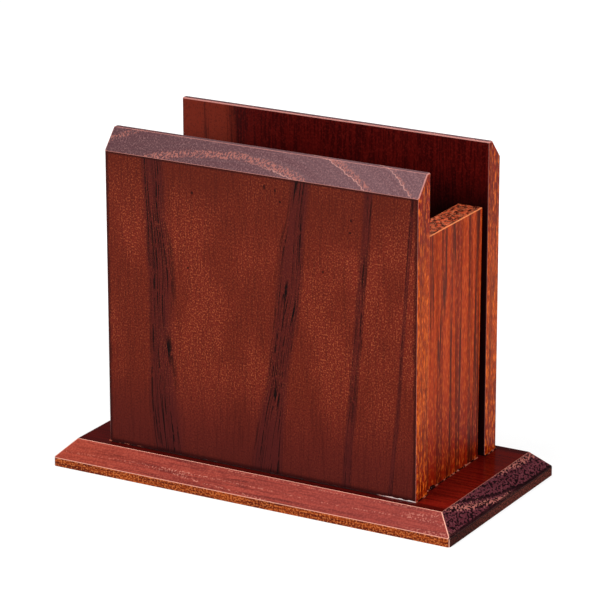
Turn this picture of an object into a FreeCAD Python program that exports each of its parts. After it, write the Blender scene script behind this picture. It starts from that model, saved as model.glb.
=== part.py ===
import FreeCAD, Part
import os
from FreeCAD import Vector

# Wooden napkin holder: a bevelled base plate carries a front board, a back board and two lower
# side pieces between them.  Millimetres.  Origin at the middle of the underside, +X to the right
# along the front board, +Y towards the back board, +Z up.

# Base plate
BASE_LENGTH = 200.0
BASE_DEPTH = 100.0
BASE_THICKNESS = 12.0
BASE_BEVEL = 8.0            # 45 degree bevel round the top face
BASE_CORNER = 1.5           # rounding of the upright corners
BASE_ARRIS = 0.8            # rounding of its other edges above the underside

# Front board and back board, alike and set back to back
BOARD_WIDTH = 155.0
BOARD_HEIGHT = 144.0
BOARD_THICKNESS = 11.0
BOARD_BEVEL_DEPTH = 8.0     # bevel on the outer side of the top, measured along Y
BOARD_BEVEL_HEIGHT = 9.0
BOARD_CORNER = 1.0          # rounding of the upright edges
BOARD_ARRIS = 0.6           # rounding of the edges round the top

# Napkin bay between the boards
BAY_DEPTH = 54.0

# Side pieces: glued to the front board, clear of the back board by a slot for a menu card
SIDE_THICKNESS = 12.0
SIDE_HEIGHT = 115.0
SIDE_INSET = 2.0            # from the ends of the boards
SIDE_ARRIS = 0.5
SLOT_TOP = 1.6              # slot at the top of a side piece
SLOT_FOOT = 3.0             # slot at the base: the rear edge is cut on a slight slant

# Countersunk wood screws, driven up through the base
SCREW_DIAMETER = 3.5
SCREW_LENGTH = 30.0
SCREW_TIP = 4.0
SCREW_HEAD_DIAMETER = 7.0
SCREW_HEAD_RIM = 0.4
SCREW_HEAD_RECESS = 0.3     # head below the underside of the base
SCREW_DRIVE_WIDTH = 0.9
SCREW_DRIVE_SPAN = 4.0
SCREW_DRIVE_DEPTH = 1.4
SCREW_CLEARANCE = 0.3       # on the diameter, in the base
PILOT_SPARE = 1.0           # depth of the pilot hole beyond the screw's point
BOARD_SCREW_SPACING = 90.0
BOARD_SCREW_COUNT = 2

# Dowels between the front board and the side pieces
DOWEL_DIAMETER = 6.0
DOWEL_LENGTH = 20.0
DOWEL_IN_BOARD = 6.0
DOWEL_CHAMFER = 0.6
DOWEL_SPARE = 0.5           # air at each end of a dowel's hole
DOWEL_HEIGHTS = (28.0, 84.0)    # above the base

# Worked out from the sizes above
BOARD_INNER_Y = BAY_DEPTH / 2
BOARD_OUTER_Y = BOARD_INNER_Y + BOARD_THICKNESS
SIDE_OUTER_X = BOARD_WIDTH / 2 - SIDE_INSET
SIDE_CENTRE_X = SIDE_OUTER_X - SIDE_THICKNESS / 2
SIDE_CENTRE_Y = -SLOT_FOOT / 2
X_AXIS = Vector(1, 0, 0)
Y_AXIS = Vector(0, 1, 0)
Z_AXIS = Vector(0, 0, 1)
NEAR = 1e-6


def prism(points, along):
    """Solid swept from a closed outline along a vector."""
    return Part.Face(Part.makePolygon(points + points[:1])).extrude(along)


def ease(solid, radius, wanted):
    """Round the edges whose two ends both pass the test."""
    edges = [e for e in solid.Edges if all(wanted(v.Point) for v in e.Vertexes)]
    return solid.makeFillet(radius, edges)


def upright_edges(solid):
    """Straight edges of a solid that stand parallel to Z."""
    return [e for e in solid.Edges
            if len(e.Vertexes) == 2
            and (e.Vertexes[0].Point - e.Vertexes[1].Point).cross(Z_AXIS).Length < NEAR]


def screw_places():
    """Foot points of the screws: under each board, and one under each side piece."""
    places = []
    for number in range(BOARD_SCREW_COUNT):
        x = (number - (BOARD_SCREW_COUNT - 1) / 2) * BOARD_SCREW_SPACING
        for side in (-1, 1):
            places.append(Vector(x, side * (BOARD_INNER_Y + BOARD_THICKNESS / 2), 0))
    for side in (-1, 1):
        places.append(Vector(side * SIDE_CENTRE_X, SIDE_CENTRE_Y, 0))
    return places


def dowel_places():
    """Points on the back face of the front board, at the axes of the dowels."""
    return [Vector(side * SIDE_CENTRE_X, -BOARD_INNER_Y, BASE_THICKNESS + height)
            for side in (-1, 1) for height in DOWEL_HEIGHTS]


def screw_cone(radius_at_rim):
    """Profile points of a 90 degree countersink, from its rim to the shank."""
    rim = SCREW_HEAD_RECESS + SCREW_HEAD_RIM
    return rim, rim + radius_at_rim - SCREW_DIAMETER / 2


def make_screw(foot):
    """One screw, head down: revolved outline with a cross recess in the head."""
    head = SCREW_HEAD_DIAMETER / 2
    shank = SCREW_DIAMETER / 2
    rim, neck = screw_cone(head)
    low = SCREW_HEAD_RECESS
    high = low + SCREW_LENGTH
    outline = [Vector(0, 0, low), Vector(head, 0, low), Vector(head, 0, rim), Vector(shank, 0, neck),
               Vector(shank, 0, high - SCREW_TIP), Vector(0, 0, high)]
    screw = Part.Face(Part.makePolygon(outline + outline[:1])).revolve(Vector(0, 0, 0), Z_AXIS, 360)
    for wide, deep in ((SCREW_DRIVE_SPAN, SCREW_DRIVE_WIDTH), (SCREW_DRIVE_WIDTH, SCREW_DRIVE_SPAN)):
        corner = Vector(-wide / 2, -deep / 2, low)
        screw = screw.cut(Part.makeBox(wide, deep, SCREW_DRIVE_DEPTH, corner))
    screw.translate(foot)
    return screw


def make_base_hole(foot):
    """Clearance hole and countersink for one screw."""
    head = SCREW_HEAD_DIAMETER / 2
    bore = (SCREW_DIAMETER + SCREW_CLEARANCE) / 2
    rim = screw_cone(head)[0]
    outline = [Vector(0, 0, 0), Vector(head, 0, 0), Vector(head, 0, rim),
               Vector(bore, 0, rim + head - bore), Vector(bore, 0, BASE_THICKNESS),
               Vector(0, 0, BASE_THICKNESS)]
    hole = Part.Face(Part.makePolygon(outline + outline[:1])).revolve(Vector(0, 0, 0), Z_AXIS, 360)
    hole.translate(foot)
    return hole


def make_pilot(foot):
    """Pilot hole above the base that the screw fills."""
    depth = SCREW_HEAD_RECESS + SCREW_LENGTH - BASE_THICKNESS + PILOT_SPARE
    return Part.makeCylinder(SCREW_DIAMETER / 2, depth, foot + Vector(0, 0, BASE_THICKNESS), Z_AXIS)


def make_dowel(place):
    """One dowel with chamfered ends, lying along Y."""
    start = place - Y_AXIS * DOWEL_IN_BOARD
    dowel = Part.makeCylinder(DOWEL_DIAMETER / 2, DOWEL_LENGTH, start, Y_AXIS)
    rims = [e for e in dowel.Edges if len(e.Vertexes) == 1]
    return dowel.makeChamfer(DOWEL_CHAMFER, rims)


def make_dowel_hole(place):
    """Hole for one dowel, cut through both of the pieces that it joins."""
    start = place - Y_AXIS * (DOWEL_IN_BOARD + DOWEL_SPARE)
    return Part.makeCylinder(DOWEL_DIAMETER / 2, DOWEL_LENGTH + 2 * DOWEL_SPARE, start, Y_AXIS)


def make_base():
    """Base plate: a square edge below, a mitred 45 degree bevel above."""
    edge_height = BASE_THICKNESS - BASE_BEVEL
    corner = Vector(-BASE_LENGTH / 2, -BASE_DEPTH / 2, 0)
    block = Part.makeBox(BASE_LENGTH, BASE_DEPTH, BASE_THICKNESS, corner)
    block = block.makeFillet(BASE_CORNER, upright_edges(block))
    for axis, half, reach in ((Y_AXIS, BASE_LENGTH / 2, BASE_DEPTH), (X_AXIS, BASE_DEPTH / 2, BASE_LENGTH)):
        outward = axis.cross(Z_AXIS)
        for side in (-1, 1):
            start = outward * (side * half) - axis * (reach / 2)
            wedge = [start + Z_AXIS * edge_height,
                     start + Z_AXIS * BASE_THICKNESS,
                     start - outward * (side * BASE_BEVEL) + Z_AXIS * BASE_THICKNESS]
            block = block.cut(prism(wedge, axis * reach))
    base = ease(block, BASE_ARRIS, lambda p: p.z > NEAR)
    for foot in screw_places():
        base = base.cut(make_base_hole(foot))
    return base


def make_board():
    """Front board: bevelled along the outer side of its top, other edges eased."""
    low = BASE_THICKNESS
    high = BASE_THICKNESS + BOARD_HEIGHT
    left = -BOARD_WIDTH / 2
    outer = -BOARD_OUTER_Y
    inner = -BOARD_INNER_Y
    outline = [Vector(left, outer, low), Vector(left, inner, low), Vector(left, inner, high),
               Vector(left, outer + BOARD_BEVEL_DEPTH, high),
               Vector(left, outer, high - BOARD_BEVEL_HEIGHT)]
    board = prism(outline, X_AXIS * BOARD_WIDTH)
    board = board.makeFillet(BOARD_CORNER, upright_edges(board))
    return ease(board, BOARD_ARRIS, lambda p: p.z > low + NEAR)


def make_side():
    """Right side piece: its rear edge slants, so that the card slot is narrower at the top."""
    low = BASE_THICKNESS
    high = BASE_THICKNESS + SIDE_HEIGHT
    inner = SIDE_OUTER_X - SIDE_THICKNESS
    outline = [Vector(inner, -BOARD_INNER_Y, low), Vector(inner, BOARD_INNER_Y - SLOT_FOOT, low),
               Vector(inner, BOARD_INNER_Y - SLOT_TOP, high), Vector(inner, -BOARD_INNER_Y, high)]
    side = prism(outline, X_AXIS * SIDE_THICKNESS)
    wanted = [e for e in side.Edges
              if any(v.Point.z > low + NEAR for v in e.Vertexes)
              and any(v.Point.y > -BOARD_INNER_Y + NEAR for v in e.Vertexes)]
    return side.makeFillet(SIDE_ARRIS, wanted)


def drilled(solid, holes):
    """The solid with every hole cut that reaches into it."""
    for hole in holes:
        if hole.BoundBox.intersect(solid.BoundBox):
            solid = solid.cut(hole)
    return solid


def main():
    pilots = [make_pilot(foot) for foot in screw_places()]
    dowel_holes = [make_dowel_hole(place) for place in dowel_places()]
    board = make_board()
    back = board.copy()
    back.rotate(Vector(0, 0, 0), Z_AXIS, 180)
    side = make_side()
    nodes = {
        "base_plate": make_base(),
        "front_board": drilled(board, pilots + dowel_holes),
        "back_board": drilled(back, pilots),
        "side_right": drilled(side, pilots + dowel_holes),
        "side_left": drilled(side.mirror(Vector(0, 0, 0), X_AXIS), pilots + dowel_holes),
        "base_screws": Part.makeCompound([make_screw(foot) for foot in screw_places()]),
        "side_dowels": Part.makeCompound([make_dowel(place) for place in dowel_places()]),
    }
    os.makedirs("parts", exist_ok=True)
    for name, shape in nodes.items():
        shape.exportStep(f"parts/{name}.step")
        solids = shape.Solids
        volume = sum(s.Volume for s in solids)
        print(name, "solids", len(solids), "valid", shape.isValid(), "volume", round(volume, 1))


main()
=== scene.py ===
"""Looks for a wooden napkin holder: lacquered red-brown wood, two bevelled boards on a bevelled base.

Lengths are metres unless a name says mm. X runs along the holder, Y through it from front to back, Z up.
The fibres of the boards and side pieces stand upright, and those of the base lie along X.
Colours are sRGB, as (red, green, blue) from 0 to 255.
"""

import math

import bmesh
import bpy
from mathutils import Matrix, Vector, noise


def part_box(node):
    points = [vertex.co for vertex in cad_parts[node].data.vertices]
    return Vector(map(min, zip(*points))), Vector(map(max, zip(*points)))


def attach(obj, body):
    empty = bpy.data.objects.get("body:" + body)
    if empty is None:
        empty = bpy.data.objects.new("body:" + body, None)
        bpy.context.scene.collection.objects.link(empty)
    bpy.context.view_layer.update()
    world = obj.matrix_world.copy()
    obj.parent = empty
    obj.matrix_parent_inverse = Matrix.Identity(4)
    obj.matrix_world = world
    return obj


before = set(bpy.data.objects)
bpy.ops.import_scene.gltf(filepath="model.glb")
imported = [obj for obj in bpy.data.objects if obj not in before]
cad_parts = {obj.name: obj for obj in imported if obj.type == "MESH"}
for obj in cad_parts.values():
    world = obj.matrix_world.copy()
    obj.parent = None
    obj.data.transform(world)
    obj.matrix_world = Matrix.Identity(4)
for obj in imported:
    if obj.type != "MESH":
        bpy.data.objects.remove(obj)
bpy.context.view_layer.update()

MM = 0.001

# ---- what the frame says about the holder ----

BASE_LOW, BASE_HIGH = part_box("base_plate")
FRONT_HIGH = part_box("front_board")[1]
BACK_LOW, BACK_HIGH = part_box("back_board")
SIDE_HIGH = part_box("side_right")[1]
BASE_TOP_MM = BASE_HIGH.z / MM
BOARD_END_MM = FRONT_HIGH.x / MM        # from the middle to the end of a board
BOARD_OUTER_MM = BACK_HIGH.y / MM       # from the middle to the outer face of a board
BOARD_INNER_MM = BACK_LOW.y / MM        # and to its inner face
SIDE_OUTER_MM = SIDE_HIGH.x / MM
BOARD_BEVEL_MM = (8.0, 9.0)             # through the board and in height
BEVEL_FOOT_MM = FRONT_HIGH.z / MM - BOARD_BEVEL_MM[1]
BASE_EDGE_MM = 4.0                      # height of the base's square edge under its bevel
SLOT_STEP_MM = 1.4                      # a side piece reaches this much further back at its top than its foot

# ---- camera ----

CAMERA_AZIMUTH = math.radians(29.92)
CAMERA_ELEVATION = math.radians(17.68)
CAMERA_ROLL = math.radians(-0.16)
CAMERA_DISTANCE = 1.5698
AIM_HEIGHT = 0.070                      # of the point in the holder that the camera and lights look at
CAMERA_SIDE_STEP = -0.0062              # its line of sight passes this far to the right of that point
CAMERA_UP_STEP = 0.0199                 # and this far above it
CAMERA_SENSOR_MM = 36.0
IMAGE_PIXELS = 600
FOCAL_PIXELS = 3557.8
OPTICAL_CENTRE_PIXELS = (288.0, 276.3)

# ---- light and floor ----

WORLD_STRENGTH = 0.10
LIGHT_DISTANCE = 1.0
# Soft boxes: name, direction from the holder, side of the square, watts.
LIGHTS = (
    ("key", (0.80, -0.42, 0.46), 0.55, 9.5),
    ("sheen", (-0.20, -0.36, 0.88), 0.45, 6.0),
    ("fill", (-0.55, -0.80, 0.22), 0.80, 5.2),
    ("rear", (-0.15, 0.48, 0.864), 0.50, 4.2),
)
FLOOR_SIZE = 20.0
FLOOR_DROP_MM = 0.05                    # the floor lies this far under the base, clear of its underside
FLOOR_PAINT = (0.30, 0.30, 0.30)        # linear
FLOOR_GLOW = (0.72, 0.93)               # near the holder, where its shadow falls, and far from it
FLOOR_GLOW_REACH = (0.14, 0.36)         # distances from the middle between which the glow grows
WHITE = (1.0, 1.0, 1.0, 1.0)

# ---- growth and marks of the wood ----

# Growth of each board: pith across and through it, lean and taper of the log up the board, and its
# rings as distance from the pith, half width and strength, all in mm but the strength.
FRONT_GROWTH = {
    "pith": (-21.3, -193.0),
    "lean": -0.037,
    "taper": -0.017,
    "rings": ((156.85, 1.15, 1.0), (167.6, 0.90, 0.85), (177.2, 0.50, 0.85)),
}
BACK_GROWTH = {
    "pith": (3.5, -128.0),
    "lean": 0.0,
    "taper": 0.0,
    "rings": ((164.0, 1.40, 0.80), (169.5, 0.55, 0.60), (175.0, 0.70, 0.80)),
}
# The same for the base plate, without lean and taper.
BASE_PITH = (52.0, 402.0)
BASE_RINGS = ((400.0, 0.95, 1.0), (391.3, 0.90, 0.9), (408.6, 0.50, 0.6))
BASE_DARK_RING = (398.1, 0.50)
RING_WOBBLE_MM = 0.9                    # how far the rings stray from true circles
RING_RIM_MM = 0.14                      # half width of the pale line on the pith side of a board's ring
RING_SOFTNESS = (0.6, 1.3)              # shares of its half width between which a ring fades out
LINE_SOFTNESS = (0.3, 1.3)              # the same for a line
GROWTH_ACROSS_PER_MM = 0.02             # how fast noise that follows the rings changes across the plank

# Pin holes and resin flecks on the outer face of the front board: x, z, half width, half height, mm.
FRONT_FLECKS = (
    (-32.9, 134.0, 0.55, 0.70),
    (3.1, 141.8, 0.45, 1.20),
    (8.5, 141.0, 0.40, 0.80),
    (10.9, 136.3, 0.60, 0.45),
    (45.4, 133.0, 0.45, 0.60),
    (45.0, 127.6, 0.50, 0.50),
    (31.9, 108.3, 0.45, 0.60),
    (-35.4, 99.7, 0.50, 0.50),
)

# Where the colour of a face changes, as the two ends of a smooth step in mm. On the boards:
# Painted shade darkens the boards' outer faces between these heights.
FACE_FOOT_SHADE_MM = (BASE_TOP_MM, 60.0)      # heights
FACE_TOP_MM = (112.0, 146.0)
FRECKLES_FROM_MM = (25.0, 65.0)
RIM_FOOT_MM = (BASE_TOP_MM + 1.0, BASE_TOP_MM + 2.6)
RIM_TOP_MM = (BEVEL_FOOT_MM - 1.4, BEVEL_FOOT_MM - 0.6)
INNER_SHADE_MM = (120.0, 147.0)
EDGE_MIDDLE_MM = 77.0
EDGE_BRIGHT_MM = (15.0, 66.0)           # distances from that height
RIM_SIDE_MM = (BOARD_END_MM - 1.1, BOARD_END_MM + 0.1)      # distance from the middle
INNER_PALE_END_MM = (-52.0, -44.0)             # places along X
# Painted sheen on the boards' bevels grows paler between these places along X.
BEVEL_SHEEN_MM = (-80.0, 80.0)
RING_RIM_FROM_MM = (-10.0, 20.0)
# On the side pieces, heights:
# Painted shade darkens the side pieces below these heights.
SIDE_FOOT_SHADE_MM = (16.0, 72.0)
# On the base:
SLOPE_RIGHT_MM = (-20.0, 70.0)          # places along X
SLOPE_LEFT_MM = (-95.0, -40.0)
TOP_LEFT_MM = (-80.0, -76.0)
TOP_REAR_MM = (-10.0, 42.0)             # places along Y
# Painted shade on the base's top beyond the boards' outer faces.
TOP_BOARD_SHADE_MM = (BOARD_OUTER_MM - 1.5, BOARD_OUTER_MM + 0.5)    # distance from the middle
END_FRONT_MM = (-40.0, 0.0)
END_LINE_MM = (0.5, 0.9)                # distances from the middle of the line
END_LINE_HEIGHT_MM = BASE_EDGE_MM + 0.3

# Which way a face looks, as the two ends of a smooth step in one part of its normal.
TO_BAY = (0.3, 0.6)
TO_BOARD_EDGE = (0.6, 0.8)
TO_BOARD_END_GRAIN = (0.40, 0.6)
TO_END_GRAIN = (0.35, 0.6)
UP_FROM_EDGE = (0.2, 0.5)
UP_TO_TOP = (0.80, 0.97)

# ---- lacquer that has run out at the feet ----

BEAD_RADIUS_MM = (0.15, 0.75)           # thinnest and thickest
BEAD_STEP_MM = 1.0
BEAD_SIDES = 6
BEAD_RISE = 0.5                         # share of its radius by which a bead's middle lies above the base
BEAD_LUMPS_PER_MM = 0.45
BEAD_LUMP_POWER = 1.5                   # above 1, more of a bead is thin than thick
BEAD_LIT_MM = (58.0, 62.0)              # the beads catch the light beyond this distance from the middle
BEAD_GLINT_MM = (58.0, 66.0)            # and glint beyond this place along X
# Dark drips at the side pieces' feet, close behind the front board, paint the shade of that corner.
SHADE_DRIP_RADIUS_MM = (0.9, 1.6)
SHADE_DRIP_ENDS_Y_MM = (-21.5, -18.5)


def linear(red, green, blue):
    """An sRGB colour of 0 to 255 as the linear RGBA that shader sockets take."""
    channels = []
    for value in (red, green, blue):
        share = value / 255
        channels.append(share / 12.92 if share <= 0.04045 else ((share + 0.055) / 1.055) ** 2.4)
    return (*channels, 1.0)


class Graph:
    """A material's node tree, with one short call for each kind of node used here."""

    # Sockets of a colour Mix node, whose names its other kinds of sockets share.
    MIX_FIRST, MIX_SECOND, MIX_RESULT = 6, 7, 2

    def __init__(self, name):
        self.material = bpy.data.materials.new(name)
        self.material.use_nodes = True
        self.tree = self.material.node_tree
        self.tree.nodes.clear()
        self.output = self.node("ShaderNodeOutputMaterial")

    def node(self, kind, **settings):
        made = self.tree.nodes.new(kind)
        for key, value in settings.items():
            setattr(made, key, value)
        return made

    def put(self, socket, value):
        """Links a socket to another, or sets its number or colour."""
        if isinstance(value, bpy.types.NodeSocket):
            self.tree.links.new(value, socket)
        else:
            socket.default_value = value

    def math(self, operation, *values):
        made = self.node("ShaderNodeMath", operation=operation)
        for socket, value in zip(made.inputs, values):
            self.put(socket, value)
        return made.outputs[0]

    def product(self, first, *others):
        for value in others:
            first = self.math("MULTIPLY", first, value)
        return first

    def largest(self, first, *others):
        for value in others:
            first = self.math("MAXIMUM", first, value)
        return first

    def distance(self, value, place):
        """How far a value is from another, on either side."""
        return self.math("ABSOLUTE", self.math("SUBTRACT", value, place))

    def span(self, value, low, high, to_low=0.0, to_high=1.0):
        """value taken smoothly from low..high to to_low..to_high, and held outside it."""
        made = self.node("ShaderNodeMapRange", interpolation_type="SMOOTHSTEP")
        for socket, number in zip(made.inputs, (value, low, high, to_low, to_high)):
            self.put(socket, number)
        return made.outputs[0]

    def fall(self, value, low, high):
        """1 below low and 0 above high, with a smooth step between them."""
        return self.span(value, low, high, 1.0, 0.0)

    def mix(self, factor, first, second):
        made = self.node("ShaderNodeMix", data_type="RGBA")
        self.put(made.inputs["Factor"], factor)
        self.put(made.inputs[self.MIX_FIRST], first)
        self.put(made.inputs[self.MIX_SECOND], second)
        return made.outputs[self.MIX_RESULT]

    def tones(self, mask, first, second):
        """The first colour where the mask is 0, and the second where it is 1."""
        return self.mix(mask, linear(*first), linear(*second))

    def layers(self, colour, *rows):
        """A colour with others laid over it in turn, each given as (mask, share, colour)."""
        for mask, share, over in rows:
            colour = self.mix(self.product(mask, share), colour, linear(*over))
        return colour

    def combine(self, x, y, z):
        made = self.node("ShaderNodeCombineXYZ")
        for socket, value in zip(made.inputs, (x, y, z)):
            self.put(socket, value)
        return made.outputs[0]

    def separate(self, vector):
        made = self.node("ShaderNodeSeparateXYZ")
        self.put(made.inputs[0], vector)
        return made.outputs

    def noise(self, vector, detail=2.0, roughness=0.5):
        made = self.node("ShaderNodeTexNoise")
        self.put(made.inputs["Vector"], vector)
        self.put(made.inputs["Scale"], 1.0)
        self.put(made.inputs["Detail"], detail)
        self.put(made.inputs["Roughness"], roughness)
        return made.outputs["Fac"]

    def bump(self, above_foot_shade, depth_mm, strength=1.0):
        made = self.node("ShaderNodeBump")
        self.put(made.inputs["Height"], above_foot_shade)
        self.put(made.inputs["Distance"], depth_mm * MM)
        self.put(made.inputs["Strength"], strength)
        return made.outputs[0]

    def shader(self, **values):
        """A Principled shader wired to the output, its sockets given by name with _ for spaces."""
        made = self.node("ShaderNodeBsdfPrincipled")
        for key, value in values.items():
            self.put(made.inputs[key.replace("_", " ")], value)
        self.tree.links.new(made.outputs[0], self.output.inputs["Surface"])
        return made


class Wood(Graph):
    """A solid block of wood in mm: growth rings round a pith, fibres along one axis.

    axes names the block's directions: along the fibres, across the plank and through it.
    slopes lists the directions of its bevelled faces, so that its rounded edges can be told apart.
    """

    # Smooth steps that find the rounded edges: how squarely the face looks along its nearest direction,
    # how much of its normal is upright, and how far round an upright corner it has turned.
    ARRIS_FLATNESS = (0.955, 0.995)
    ARRIS_UPRIGHT = (0.05, 0.20)
    CORNER_TURN = (0.52, 0.68)

    def __init__(self, name, axes, slopes=()):
        super().__init__(name)
        place = self.node("ShaderNodeTexCoord").outputs["Object"]
        normal = self.node("ShaderNodeNewGeometry").outputs["True Normal"]
        position = self.separate(place)
        facing = self.separate(normal)
        self.along, self.across, self.through = (
            self.product(position["XYZ".index(axis)], 1 / MM) for axis in axes
        )
        self.end_face, self.edge_face, self.wide_face = (
            self.math("ABSOLUTE", facing["XYZ".index(axis)]) for axis in axes
        )
        self.up = facing[2]
        self.upright = self.math("ABSOLUTE", facing[2])
        self.corner = self.math(
            "MINIMUM", self.math("ABSOLUTE", facing[0]), self.math("ABSOLUTE", facing[1])
        )
        self.front = self.product(facing[1], -1.0)
        self.flatness = self.largest(self.end_face, self.edge_face, self.wide_face)
        for slope in slopes:
            met = self.node("ShaderNodeVectorMath", operation="DOT_PRODUCT")
            self.put(met.inputs[0], normal)
            self.put(met.inputs[1], Vector(slope).normalized())
            self.flatness = self.largest(self.flatness, met.outputs["Value"])

    def arris_highlight(self, corner_highlight_strength=1.0):
        """1 on the rounded edges of bevels and tops, and on a thin line down the upright corners: where a
        painted highlight goes.
        """
        rounded = self.fall(self.flatness, *self.ARRIS_FLATNESS)
        edge = self.product(rounded, self.span(self.upright, *self.ARRIS_UPRIGHT))
        return self.largest(edge, self.span(self.corner, *self.CORNER_TURN, 0.0, corner_highlight_strength))

    def grain(self, along_per_mm, across_per_mm, detail=2.0, through_per_mm=None):
        """Noise drawn out along the fibres; it shows as lines on a face and pores on end grain."""
        place = self.combine(
            self.product(self.across, across_per_mm),
            self.product(self.through, through_per_mm or across_per_mm),
            self.product(self.along, along_per_mm),
        )
        return self.noise(place, detail)

    def growth(self, radius, per_mm, along_per_mm=0.01, detail=3.0):
        """Noise that follows the growth rings."""
        place = self.combine(
            self.product(radius, per_mm),
            self.product(self.along, along_per_mm),
            self.product(self.across, GROWTH_ACROSS_PER_MM),
        )
        return self.noise(place, detail, roughness=0.6)

    def ring_radius(self, pith_across, pith_through, lean=0.0, taper=0.0):
        """Distance from the pith in mm, with the log's lean and taper and a slow wobble."""
        wobble = self.math("SUBTRACT", self.grain(0.014, 0.05), 0.5)
        side = self.math("SUBTRACT", self.across, pith_across)
        side = self.math("MULTIPLY_ADD", self.along, lean, side)
        depth = self.math("SUBTRACT", self.through, pith_through)
        squares = self.math("MULTIPLY_ADD", side, side, self.product(depth, depth))
        radius = self.math("MULTIPLY_ADD", self.along, taper, self.math("SQRT", squares))
        return self.math("MULTIPLY_ADD", wobble, 2 * RING_WOBBLE_MM, radius)

    def ragged(self, radius, vessel, reach_mm):
        """A ring radius that the vessels push in and out by up to reach_mm."""
        push = self.math("MULTIPLY_ADD", vessel, 2 * reach_mm, -reach_mm)
        return self.math("ADD", radius, push)

    def band(self, radius, centre, half_width):
        """1 in the middle of a ring, falling to 0 a little outside its half width."""
        low, high = RING_SOFTNESS
        return self.fall(self.distance(radius, centre), half_width * low, half_width * high)

    def bands(self, radius, rings):
        """The strongest of several rings, each (centre, half width, strength)."""
        return self.largest(0.0, *(
            self.product(self.band(radius, centre, half_width), strength)
            for centre, half_width, strength in rings
        ))

    def contour(self, value, half_width):
        """1 on the thin lines along which a noise crosses its middle value."""
        low, high = LINE_SOFTNESS
        return self.fall(self.distance(value, 0.5), half_width * low, half_width * high)

    def add_specks(self, along_per_mm, across_per_mm, detail, light, dark):
        """Fine specks, with a mask of those paler than the wood and one of those darker."""
        self.speckle = self.grain(along_per_mm, across_per_mm, detail)
        self.light_speck = self.span(self.speckle, *light)
        self.dark_speck = self.fall(self.speckle, *dark)

    def add_fibres(self, along_per_mm, across_per_mm, dark):
        """Fine lines along the fibres, with a mask of the dark ones."""
        self.fibre = self.grain(along_per_mm, across_per_mm, 1.0)
        self.dark_fibre = self.span(self.fibre, *dark)

    def finish(self, colour, roughness, gloss, relief, depth_mm, strength=0.5):
        """Lacquered wood; gloss is the shader's specular level. Returns the material."""
        self.shader(
            Base_Color=colour,
            Roughness=roughness,
            Specular_IOR_Level=gloss,
            Normal=self.bump(relief, depth_mm, strength),
        )
        return self.material


# ---- front and back board ----


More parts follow.
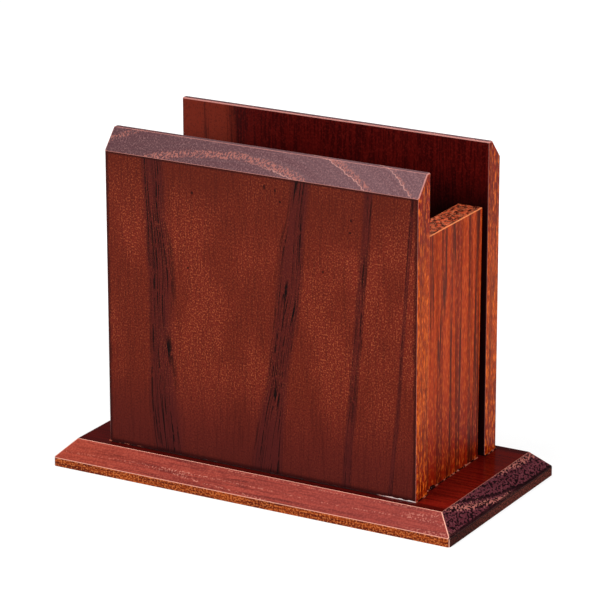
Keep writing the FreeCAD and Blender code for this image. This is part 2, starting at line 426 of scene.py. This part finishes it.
class BoardWood(Wood):
    """Upright fibres with dark streaks where the rings cut the face, and end grain under a painted
    grey-purple sheen.

    outward is -1 for the front board and 1 for the back board: the side of its outer face.
    """

    def __init__(self, name, outward, growth):
        bevel_depth, bevel_height = BOARD_BEVEL_MM
        super().__init__(name, "ZXY", slopes=[(0, outward * bevel_height, bevel_depth)])
        self.add_specks(1.30, 1.50, 1.0, light=(0.52, 0.68), dark=(0.32, 0.48))
        self.add_fibres(0.06, 1.10, dark=(0.54, 0.65))
        self.facing_bay = self.span(self.product(self.front, outward), *TO_BAY)
        self.rings = growth["rings"]
        self.radius = self.ring_radius(*growth["pith"], growth["lean"], growth["taper"])
        self.streak = self.bands(self.radius, self.rings)
        self.vessel = self.grain(0.30, 0.80, 1.0)
        self.pore = self.growth(self.radius, 6.8, 0.018, 0.0)
        self.dashes = self.product(
            self.contour(self.pore, 0.070),
            self.math("MULTIPLY_ADD", self.streak, 0.94, 0.06),
            self.span(self.vessel, 0.34, 0.46, 0.15, 1.0),
        )

    def fleck(self, x, z, half_width, half_height):
        """1 in a small oval on the outer face."""
        across = self.math("MULTIPLY_ADD", self.across, 1 / half_width, -x / half_width)
        along = self.math("MULTIPLY_ADD", self.along, 1 / half_height, -z / half_height)
        reach = self.math("MULTIPLY_ADD", across, across, self.product(along, along))
        return self.fall(reach, 0.5, 1.6)

    def rim(self):
        """1 in thin bands down the sides of the outer face and along its top and foot, which are painted
        darker.
        """
        from_middle = self.math("ABSOLUTE", self.across)
        mottled = self.math("MULTIPLY_ADD", self.grain(0.12, 0.5), 2.4, from_middle)
        return self.largest(
            self.span(mottled, *RIM_SIDE_MM),
            self.span(self.along, *RIM_TOP_MM),
            self.fall(self.along, *RIM_FOOT_MM),
        )

    def outer_face(self, flecks):
        """Red-brown with pale freckles, darker at the foot with painted shade and darker at the top, and
        streaked along the rings.
        """
        patch = self.grain(0.03, 0.045, 2.0)
        freckles = self.product(
            self.light_speck,
            self.span(patch, 0.42, 0.58, 0.40, 1.0),
            self.span(self.along, *FACE_TOP_MM, 1.0, 0.45),
            self.span(self.along, *FRECKLES_FROM_MM, 0.10, 1.0),
        )
        return self.layers(
            self.tones(self.span(patch, 0.38, 0.62), (100, 32, 20), (111, 36, 24)),
            # Painted shade towards the foot.
            (self.fall(self.along, *FACE_FOOT_SHADE_MM), 0.85, (80, 25, 21)),
            (self.span(self.along, *FACE_TOP_MM), 0.75, (86, 27, 16)),
            (self.dark_speck, 0.42, (54, 13, 10)),
            (freckles, 0.85, (162, 80, 48)),
            (self.dark_fibre, 0.28, (58, 15, 12)),
            (self.streak, 0.60, (66, 21, 22)),
            (self.dashes, 1.0, (12, 3, 3)),
            *((self.fleck(*place), 0.85, (22, 4, 4)) for place in flecks),
            (self.rim(), 0.70, (34, 8, 9)),
        )

    def inner_face(self):
        """Deep red, paler at the end towards -X, and nearly black with painted shade down in the bay."""
        ragged = self.math("MULTIPLY_ADD", self.grain(0.03, 0.2), 8.0, self.across)
        return self.layers(
            self.tones(self.span(self.fibre, 0.42, 0.60), (70, 7, 5), (50, 3, 3)),
            (self.light_speck, 0.35, (100, 20, 14)),
            (self.fall(ragged, *INNER_PALE_END_MM), 0.90, (106, 34, 20)),
            (self.dark_speck, 0.30, (34, 4, 4)),
            (self.dashes, 0.85, (22, 3, 4)),
            # Painted shade: nearly black down in the bay.
            (self.fall(self.along, *INNER_SHADE_MM), 0.90, (8, 1, 2)),
        )

    def end_grain(self):
        """Grey-purple top, paler towards +X: a painted sheen over the end grain, with porous pink rings that
        meet the streaks.
        """
        line = self.growth(self.radius, 1.6)
        radius = self.ragged(self.radius, self.vessel, 0.8)
        pores = self.span(self.grain(0.5, 1.3, 1.0), 0.47, 0.57)
        rims = [(centre - half_width, RING_RIM_MM, strength) for centre, half_width, strength in self.rings]
        rim = self.product(self.bands(radius, rims), self.span(self.across, *RING_RIM_FROM_MM))
        return self.layers(
            # Painted sheen: grey-purple, paler towards +X.
            self.tones(self.span(self.across, *BEVEL_SHEEN_MM), (82, 55, 58), (103, 73, 77)),
            (self.span(line, 0.38, 0.64), 0.30, (80, 44, 50)),
            (self.light_speck, 0.30, (156, 114, 112)),
            (self.dark_speck, 0.30, (56, 28, 34)),
            (self.product(self.bands(radius, self.rings), pores), 0.62, (168, 102, 90)),
            (rim, 0.60, (204, 148, 136)),
        )

    def edge(self):
        """Orange ends of the board, brightest half way up, with pale and dark flecks and dark lines."""
        # Partly painted light: the ends are written brighter than the faces for the light from the right, and
        # painted shade darkens them towards the foot.
        bright = self.fall(self.distance(self.along, EDGE_MIDDLE_MM), *EDGE_BRIGHT_MM)
        fleck = self.grain(0.40, 1.40, 1.0)
        line = self.contour(self.grain(0.006, 0.35, 1.0), 0.045)
        return self.layers(
            self.tones(bright, (132, 23, 2), (176, 62, 3)),
            (self.span(fleck, 0.51, 0.64), 0.72, (232, 112, 32)),
            (self.fall(fleck, 0.34, 0.46), 0.52, (84, 18, 4)),
            (line, 0.60, (88, 20, 5)),
            (self.dark_fibre, 0.50, (84, 18, 6)),
        )


def board_wood(name, outward, growth, flecks=()):
    """Satin board: each kind of face in its own colours, with a painted highlight along the arrises."""
    wood = BoardWood(name, outward, growth)
    colour = wood.mix(wood.facing_bay, wood.outer_face(flecks), wood.inner_face())
    colour = wood.mix(wood.span(wood.edge_face, *TO_BOARD_EDGE), colour, wood.edge())
    colour = wood.mix(wood.span(wood.end_face, *TO_BOARD_END_GRAIN), colour, wood.end_grain())
    # Painted highlight: a pale pink line along the rounded edges and down the upright corners.
    colour = wood.layers(colour, (wood.arris_highlight(0.5), 0.75, (192, 128, 118)))
    roughness = wood.span(wood.speckle, 0.3, 0.7, 0.34, 0.46)
    relief = wood.math("MULTIPLY_ADD", wood.pore, -1.0, wood.product(wood.speckle, 0.5))
    return wood.finish(colour, roughness, gloss=0.04, relief=relief, depth_mm=0.12)


# ---- side pieces ----


def side_wood(name):
    """Thin upright dark lines on orange-brown, darker towards the foot with painted shade, with dark pores in
    the end grain.
    """
    wood = Wood(name, "ZYX")
    wood.add_specks(0.35, 1.30, 1.0, light=(0.53, 0.65), dark=(0.34, 0.47))
    wood.add_fibres(0.012, 0.60, dark=(0.53, 0.64))
    stripe = wood.grain(0.004, 0.22, 2.0)
    vessel = wood.grain(0.25, 0.62, 1.0)
    # Painted shade darkens the faces towards the foot; the bright orange is partly painted light from the
    # right.
    above_foot_shade = wood.span(wood.along, *SIDE_FOOT_SHADE_MM)
    light = wood.tones(above_foot_shade, (124, 20, 2), (170, 54, 7))
    dark = wood.tones(above_foot_shade, (96, 14, 2), (136, 36, 5))
    face = wood.layers(
        wood.mix(wood.span(stripe, 0.40, 0.60), light, dark),
        (wood.light_speck, 0.36, (220, 108, 40)),
        (wood.dark_speck, 0.34, (70, 15, 4)),
        (wood.dark_fibre, 0.45, (84, 21, 6)),
        (wood.contour(stripe, 0.028), 0.85, (50, 10, 3)),
    )
    end = wood.layers(
        wood.tones(wood.span(vessel, 0.46, 0.60), (60, 14, 10), (172, 68, 38)),
        (wood.light_speck, 0.45, (224, 132, 92)),
    )
    colour = wood.mix(wood.span(wood.end_face, *TO_END_GRAIN), face, end)
    # Painted highlight along the rounded edges and down the upright corners.
    colour = wood.layers(colour, (wood.arris_highlight(), 0.70, (232, 138, 88)))
    roughness = wood.span(wood.fibre, 0.3, 0.7, 0.36, 0.48)
    return wood.finish(colour, roughness, gloss=0.035, relief=wood.fibre, depth_mm=0.12)


# ---- base plate ----


class BaseWood(Wood):
    """Fibres along X: long lines on the bevels at front and rear, and end grain on the other two."""

    def __init__(self, name):
        super().__init__(name, "XYZ", slopes=[(0, -1, 1), (0, 1, 1), (-1, 0, 1), (1, 0, 1)])
        self.add_specks(1.30, 1.30, 0.0, light=(0.53, 0.65), dark=(0.34, 0.47))
        self.add_fibres(0.04, 0.90, dark=(0.54, 0.65))
        self.vessel = self.grain(0.20, 0.80, 0.0, 1.60)
        self.radius = self.ragged(self.ring_radius(*BASE_PITH), self.vessel, 1.2)
        self.line = self.growth(self.radius, 1.1, 0.012)
        self.above_edge = self.span(self.up, *UP_FROM_EDGE)
        self.on_end = self.span(self.end_face, *TO_END_GRAIN)

    def top(self):
        """Deep red, darker to the rear and at the left end, with painted shade in front of and behind the
        boards.
        """
        board_foot_shade = self.span(self.math("ABSOLUTE", self.across), *TOP_BOARD_SHADE_MM)
        return self.layers(
            self.tones(self.span(self.fibre, 0.40, 0.65), (108, 17, 10), (82, 9, 6)),
            (self.light_speck, 0.22, (132, 34, 16)),
            (self.span(self.across, *TOP_REAR_MM), 0.65, (62, 2, 1)),
            # Painted shade on the strips of the top in front of and behind the boards.
            (board_foot_shade, 0.75, (46, 4, 4)),
            (self.fall(self.along, *TOP_LEFT_MM), 0.80, (58, 2, 2)),
        )

    def slope(self):
        """Salmon bevel with pale and dark lines, a little redder at the right and yellower at the left."""
        pale_line = self.product(self.contour(self.grain(0.008, 0.16, 1.0), 0.022), self.light_speck)
        dark_line = self.contour(self.grain(0.012, 0.42, 1.0), 0.024)
        return self.layers(
            self.tones(self.span(self.line, 0.42, 0.60), (146, 58, 46), (124, 46, 38)),
            (self.dark_fibre, 0.45, (98, 30, 26)),
            (pale_line, 0.55, (206, 142, 124)),
            (dark_line, 0.60, (84, 24, 22)),
            (self.light_speck, 0.18, (186, 96, 78)),
            (self.span(self.along, *SLOPE_RIGHT_MM), 0.35, (128, 44, 40)),
            (self.fall(self.along, *SLOPE_LEFT_MM), 0.25, (164, 68, 42)),
            (self.dark_speck, 0.20, (86, 24, 22)),
        )

    def low_edge(self):
        """Orange-brown square edge under the bevel, with pale and dark specks."""
        return self.layers(
            self.tones(self.span(self.fibre, 0.42, 0.62), (160, 66, 22), (108, 34, 12)),
            (self.light_speck, 0.55, (220, 130, 70)),
            (self.dark_speck, 0.55, (60, 16, 10)),
        )

    def end_grain(self):
        """Purple-grey bevel of an end, with dark pores, pink rings and one dark ring."""
        ring = self.bands(self.radius, BASE_RINGS)
        closed = self.largest(self.fall(self.vessel, 0.40, 0.48), self.light_speck)
        return self.layers(
            self.tones(self.span(self.line, 0.42, 0.60), (90, 40, 48), (74, 29, 37)),
            (self.light_speck, 0.25, (130, 78, 84)),
            (self.span(self.vessel, 0.50, 0.60), 0.95, (14, 3, 6)),
            (self.product(ring, closed), 0.80, (172, 104, 92)),
            (self.band(self.radius, *BASE_DARK_RING), 0.85, (18, 4, 7)),
        )

    def low_end_edge(self):
        """Brown square edge under the bevel of an end, darker to the front."""
        return self.layers(
            self.tones(self.span(self.speckle, 0.40, 0.60), (50, 24, 20), (102, 48, 40)),
            (self.fall(self.across, *END_FRONT_MM), 0.60, (22, 8, 8)),
        )

    def base_arris_highlight(self):
        """The painted highlight on the arris, weaker along the bevels of the ends."""
        along_end = self.product(self.span(self.end_face, 0.10, 0.25), self.fall(self.edge_face, 0.1, 0.3))
        return self.product(self.arris_highlight(), self.span(along_end, 0.0, 1.0, 1.0, 0.25))

    def line_under_end_bevel(self):
        """A dark line where an end's bevel meets its square edge."""
        line = self.fall(self.distance(self.through, END_LINE_HEIGHT_MM), *END_LINE_MM)
        return self.product(line, self.on_end)


def base_wood(name):
    """Base plate with a glossy top, satin bevels and dull square edges at its ends."""
    wood = BaseWood(name)
    end = wood.mix(wood.above_edge, wood.low_end_edge(), wood.end_grain())
    colour = wood.mix(wood.above_edge, wood.low_edge(), wood.slope())
    colour = wood.mix(wood.span(wood.up, *UP_TO_TOP), colour, wood.top())
    colour = wood.mix(wood.on_end, colour, end)
    colour = wood.layers(
        colour,
        # Painted highlight along the rounded edges.
        (wood.base_arris_highlight(), 0.85, (232, 168, 148)),
        (wood.line_under_end_bevel(), 0.85, (22, 5, 7)),
    )
    dull_end = wood.product(wood.span(wood.up, *UP_FROM_EDGE, 0.9, 0.0), wood.on_end)
    roughness = wood.largest(wood.span(wood.up, *UP_TO_TOP, 0.36, 0.16), dull_end)
    relief = wood.math("MULTIPLY_ADD", wood.vessel, -1.0, wood.fibre)
    return wood.finish(colour, roughness, gloss=0.06, relief=relief, depth_mm=0.08, strength=0.4)


# ---- lacquer, dowels and screws ----


def lacquer_bead(name, lit_share=1.0):
    """Lacquer that has run into the joint and set there: dark, with pinkish lit spots.

    A pale glint lies on the front of the beads near the right end. lit_share weakens the lit spots.
    """
    wood = Wood(name, "ZXY")
    spot = wood.grain(0.45, 0.45, 1.0)
    from_middle = wood.math("ABSOLUTE", wood.across)
    lit = wood.product(
        wood.span(spot, 0.50, 0.60, 0.0, lit_share),
        wood.span(from_middle, *BEAD_LIT_MM),
    )
    glint = wood.product(
        wood.span(wood.front, 0.2, 0.5),
        wood.span(wood.up, 0.1, 0.4),
        wood.span(wood.across, *BEAD_GLINT_MM),
    )
    colour = wood.tones(lit, (30, 4, 3), (150, 78, 60))
    colour = wood.layers(colour, (glint, 0.75, (206, 190, 188)))
    roughness = wood.span(spot, 0.4, 0.6, 0.25, 0.40)
    return wood.finish(colour, roughness, gloss=0.06, relief=spot, depth_mm=0.10)


def dowel_wood(name):
    """Pale beech with short darker flecks along the pin."""
    wood = Wood(name, "YXZ")
    fleck = wood.grain(0.5, 3.0)
    colour = wood.tones(wood.span(fleck, 0.40, 0.65), (214, 178, 132), (178, 132, 88))
    wood.shader(Base_Color=colour, Roughness=0.6, Normal=wood.bump(fleck, 0.08, 0.5))
    return wood.material


def screw_steel(name):
    """Zinc-plated steel with fine turning marks and a slightly uneven gloss."""
    steel = Wood(name, "ZXY")
    marks = steel.grain(6.0, 0.4)
    cloud = steel.grain(0.4, 0.4)
    steel.shader(
        Base_Color=steel.tones(steel.span(cloud, 0.35, 0.65), (186, 188, 190), (150, 150, 146)),
        Metallic=1.0,
        Roughness=steel.span(marks, 0.3, 0.7, 0.25, 0.42),
        Normal=steel.bump(marks, 0.03, 0.3),
    )
    return steel.material


def dress(node, material):
    """Gives every material slot of a CAD node the same new material."""
    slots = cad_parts[node].data.materials
    if not slots:
        slots.append(material)
    for index in range(len(slots)):
        slots[index] = material


dress("base_plate", base_wood("base_lacquer"))
dress("front_board", board_wood("front_board_lacquer", -1, FRONT_GROWTH, FRONT_FLECKS))
dress("back_board", board_wood("back_board_lacquer", 1, BACK_GROWTH))
dress("side_right", side_wood("side_right_lacquer"))
dress("side_left", side_wood("side_left_lacquer"))
dress("side_dowels", dowel_wood("dowel_beech"))
dress("base_screws", screw_steel("screw_zinc"))


# ---- beads of lacquer along the feet of the boards and side pieces, and a dark drip of painted shade on each side piece ----


def make_bead(name, start, end, material, radii=BEAD_RADIUS_MM):
    """A lumpy, partly sunk roll of lacquer between two points on the base, given as x and y in mm."""
    start, end = Vector((*start, 0.0)), Vector((*end, 0.0))
    thin, thick = radii
    run = end - start
    way = run.normalized()
    aside = Vector((-way.y, way.x, 0.0))
    count = max(2, round(run.length / BEAD_STEP_MM))
    mesh = bmesh.new()
    rows = []
    for index in range(count + 1):
        middle = start + run * (index / count)
        lump = noise.noise(middle * BEAD_LUMPS_PER_MM) * 0.5 + 0.5
        radius = thin + (thick - thin) * lump ** BEAD_LUMP_POWER
        row = []
        for side in range(BEAD_SIDES):
            angle = 2 * math.pi * side / BEAD_SIDES
            point = middle + aside * (radius * math.cos(angle))
            point.z = BASE_TOP_MM + radius * (BEAD_RISE + math.sin(angle))
            row.append(mesh.verts.new(point * MM))
        rows.append(row)
    for near, far in zip(rows, rows[1:]):
        for side in range(BEAD_SIDES):
            after = (side + 1) % BEAD_SIDES
            mesh.faces.new((near[side], near[after], far[after], far[side]))
    mesh.faces.new(rows[0][::-1])
    mesh.faces.new(rows[-1])
    bmesh.ops.recalc_face_normals(mesh, faces=mesh.faces)
    for face in mesh.faces:
        face.smooth = True
    data = bpy.data.meshes.new(name)
    mesh.to_mesh(data)
    mesh.free()
    data.materials.append(material)
    bead = bpy.data.objects.new(name, data)
    bpy.context.scene.collection.objects.link(bead)
    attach(bead, "root")


def make_beads():
    """Beads round both boards and along the outer faces of the side pieces, and the two dark drips that paint
    shade.
    """
    bead = lacquer_bead("lacquer_bead")
    shade_drip = lacquer_bead("painted_shade_drip", 0.0)
    hands = (("left", -1), ("right", 1))
    for word, sign in (("front", -1), ("back", 1)):
        outer, inner = sign * BOARD_OUTER_MM, sign * BOARD_INNER_MM
        make_bead(f"{word}_foot_bead", (-BOARD_END_MM, outer), (BOARD_END_MM, outer), bead)
        for side, hand in hands:
            end = hand * BOARD_END_MM
            make_bead(f"{word}_{side}_bead", (end, outer), (end, inner), bead)
    slot = SIDE_HIGH.y / MM - SLOT_STEP_MM
    shade_drip_start, shade_drip_end = SHADE_DRIP_ENDS_Y_MM
    for side, hand in hands:
        x = hand * SIDE_OUTER_MM
        make_bead(f"{side}_foot_bead", (x, -BOARD_INNER_MM), (x, slot), bead)
        # A dark drip of painted shade.
        make_bead(f"{side}_drip", (x, shade_drip_start), (x, shade_drip_end), shade_drip, SHADE_DRIP_RADIUS_MM)


make_beads()


# ---- floor, world and lights ----


def seen_directly(graph):
    """1 for camera, glossy and transmission rays, which see the white studio, and 0 for light."""
    path = graph.node("ShaderNodeLightPath").outputs
    return graph.largest(path["Is Camera Ray"], path["Is Glossy Ray"], path["Is Transmission Ray"])


def floor_paint():
    """White studio floor that glows less near the holder, so that it keeps a soft shadow there."""
    graph = Graph("floor_paint")
    reach = graph.node("ShaderNodeVectorMath", operation="LENGTH")
    graph.put(reach.inputs[0], graph.node("ShaderNodeTexCoord").outputs["Object"])
    glow = graph.span(reach.outputs["Value"], *FLOOR_GLOW_REACH, *FLOOR_GLOW)
    graph.shader(
        Base_Color=(*FLOOR_PAINT, 1.0),
        Roughness=1.0,
        Specular_IOR_Level=0.0,
        Emission_Color=WHITE,
        Emission_Strength=graph.product(seen_directly(graph), glow),
    )
    return graph.material


def make_floor():
    half = FLOOR_SIZE / 2
    corners = [(-half, -half, 0), (half, -half, 0), (half, half, 0), (-half, half, 0)]
    mesh = bpy.data.meshes.new("floor")
    mesh.from_pydata(corners, [], [(0, 1, 2, 3)])
    mesh.materials.append(floor_paint())
    floor = bpy.data.objects.new("floor", mesh)
    bpy.context.scene.collection.objects.link(floor)
    floor.location.z = BASE_LOW.z - FLOOR_DROP_MM * MM


def make_world():
    """Weak white light from all round."""
    world = bpy.data.worlds.new("studio")
    bpy.context.scene.world = world
    world.use_nodes = True
    back = world.node_tree.nodes["Background"]
    back.inputs["Color"].default_value = WHITE
    back.inputs["Strength"].default_value = WORLD_STRENGTH


def make_light(name, direction, size, watts):
    """A square soft box that looks at the aim point."""
    lamp = bpy.data.lights.new(name, "AREA")
    lamp.size = size
    lamp.energy = watts
    light = bpy.data.objects.new(name, lamp)
    bpy.context.scene.collection.objects.link(light)
    towards = Vector(direction).normalized()
    light.location = Vector((0.0, 0.0, AIM_HEIGHT)) + towards * LIGHT_DISTANCE
    light.rotation_mode = "QUATERNION"
    light.rotation_quaternion = (-towards).to_track_quat("-Z", "Y")


def make_camera():
    """A long lens, aimed a little off the middle, with the optical centre off the frame's centre."""
    azimuth, elevation = CAMERA_AZIMUTH, CAMERA_ELEVATION
    forward = Vector((
        -math.sin(azimuth) * math.cos(elevation),
        math.cos(azimuth) * math.cos(elevation),
        -math.sin(elevation),
    ))
    level = Vector((math.cos(azimuth), math.sin(azimuth), 0.0))
    upright = level.cross(forward)
    right = math.cos(CAMERA_ROLL) * level + math.sin(CAMERA_ROLL) * upright
    up = math.cos(CAMERA_ROLL) * upright - math.sin(CAMERA_ROLL) * level
    data = bpy.data.cameras.new("camera")
    data.sensor_width = CAMERA_SENSOR_MM
    data.lens = FOCAL_PIXELS / IMAGE_PIXELS * CAMERA_SENSOR_MM
    data.shift_x = 0.5 - OPTICAL_CENTRE_PIXELS[0] / IMAGE_PIXELS
    data.shift_y = OPTICAL_CENTRE_PIXELS[1] / IMAGE_PIXELS - 0.5
    camera = bpy.data.objects.new("camera", data)
    bpy.context.scene.collection.objects.link(camera)
    place = Vector((0.0, 0.0, AIM_HEIGHT))
    place += CAMERA_SIDE_STEP * right + CAMERA_UP_STEP * up - CAMERA_DISTANCE * forward
    turn = Matrix((right, up, -forward)).transposed().to_4x4()
    camera.matrix_world = Matrix.Translation(place) @ turn
    bpy.context.scene.camera = camera


make_floor()
make_world()
for name, direction, size, watts in LIGHTS:
    make_light(name, direction, size, watts)
make_camera()
bpy.context.scene.view_settings.view_transform = "Standard"
